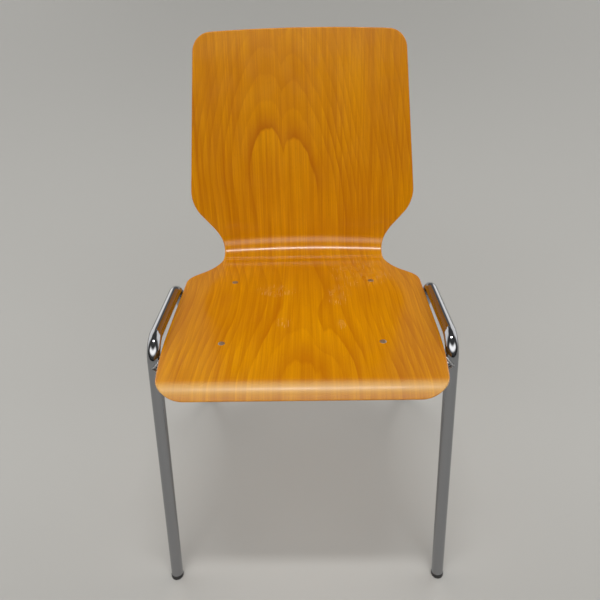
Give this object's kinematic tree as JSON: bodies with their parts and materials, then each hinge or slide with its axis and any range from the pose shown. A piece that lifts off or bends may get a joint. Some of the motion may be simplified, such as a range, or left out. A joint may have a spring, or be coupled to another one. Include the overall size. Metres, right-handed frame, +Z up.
{
  "type": "stacking chair",
  "caption": "Stacking chair: one-piece moulded plywood seat and back with a waist, on a chromed bent-tube frame with raked legs and black foot glides.",
  "frame": {"origin": "on the floor, under the middle of the chair's bounding box", "axes": "+Z up, front of the chair towards -Y, +X to the right when looking along +Y at its front"},
  "size_m": [0.4788, 0.5582, 0.8126],
  "materials": {
    "beech_plywood": "amber lacquer over beech face veneer, satin-gloss",
    "chromed_tube": "bright chrome plating on steel tube",
    "plated_steel": "dull nickel-plated steel",
    "black_plastic": "moulded, fine matt grain"
  },
  "bodies": {
    "root": {"plywood_shell": "beech_plywood", "left_side_hoop": "chromed_tube", "right_side_hoop": "chromed_tube", "front_cross_tube": "chromed_tube", "rear_cross_tube": "chromed_tube", "front_left_mounting_plate": "chromed_tube", "front_left_spacer_pad": "black_plastic", "front_left_sleeve_nut": "plated_steel", "front_left_washer": "plated_steel", "front_left_shell_screw": "plated_steel", "front_left_foot_glide": "black_plastic", "front_right_mounting_plate": "chromed_tube", "front_right_spacer_pad": "black_plastic", "front_right_sleeve_nut": "plated_steel", "front_right_washer": "plated_steel", "front_right_shell_screw": "plated_steel", "front_right_foot_glide": "black_plastic", "rear_left_mounting_plate": "chromed_tube", "rear_left_spacer_pad": "black_plastic", "rear_left_sleeve_nut": "plated_steel", "rear_left_washer": "plated_steel", "rear_left_shell_screw": "plated_steel", "rear_left_foot_glide": "black_plastic", "rear_right_mounting_plate": "chromed_tube", "rear_right_spacer_pad": "black_plastic", "rear_right_sleeve_nut": "plated_steel", "rear_right_washer": "plated_steel", "rear_right_shell_screw": "plated_steel", "rear_right_foot_glide": "black_plastic"}
  },
  "joints": []
}
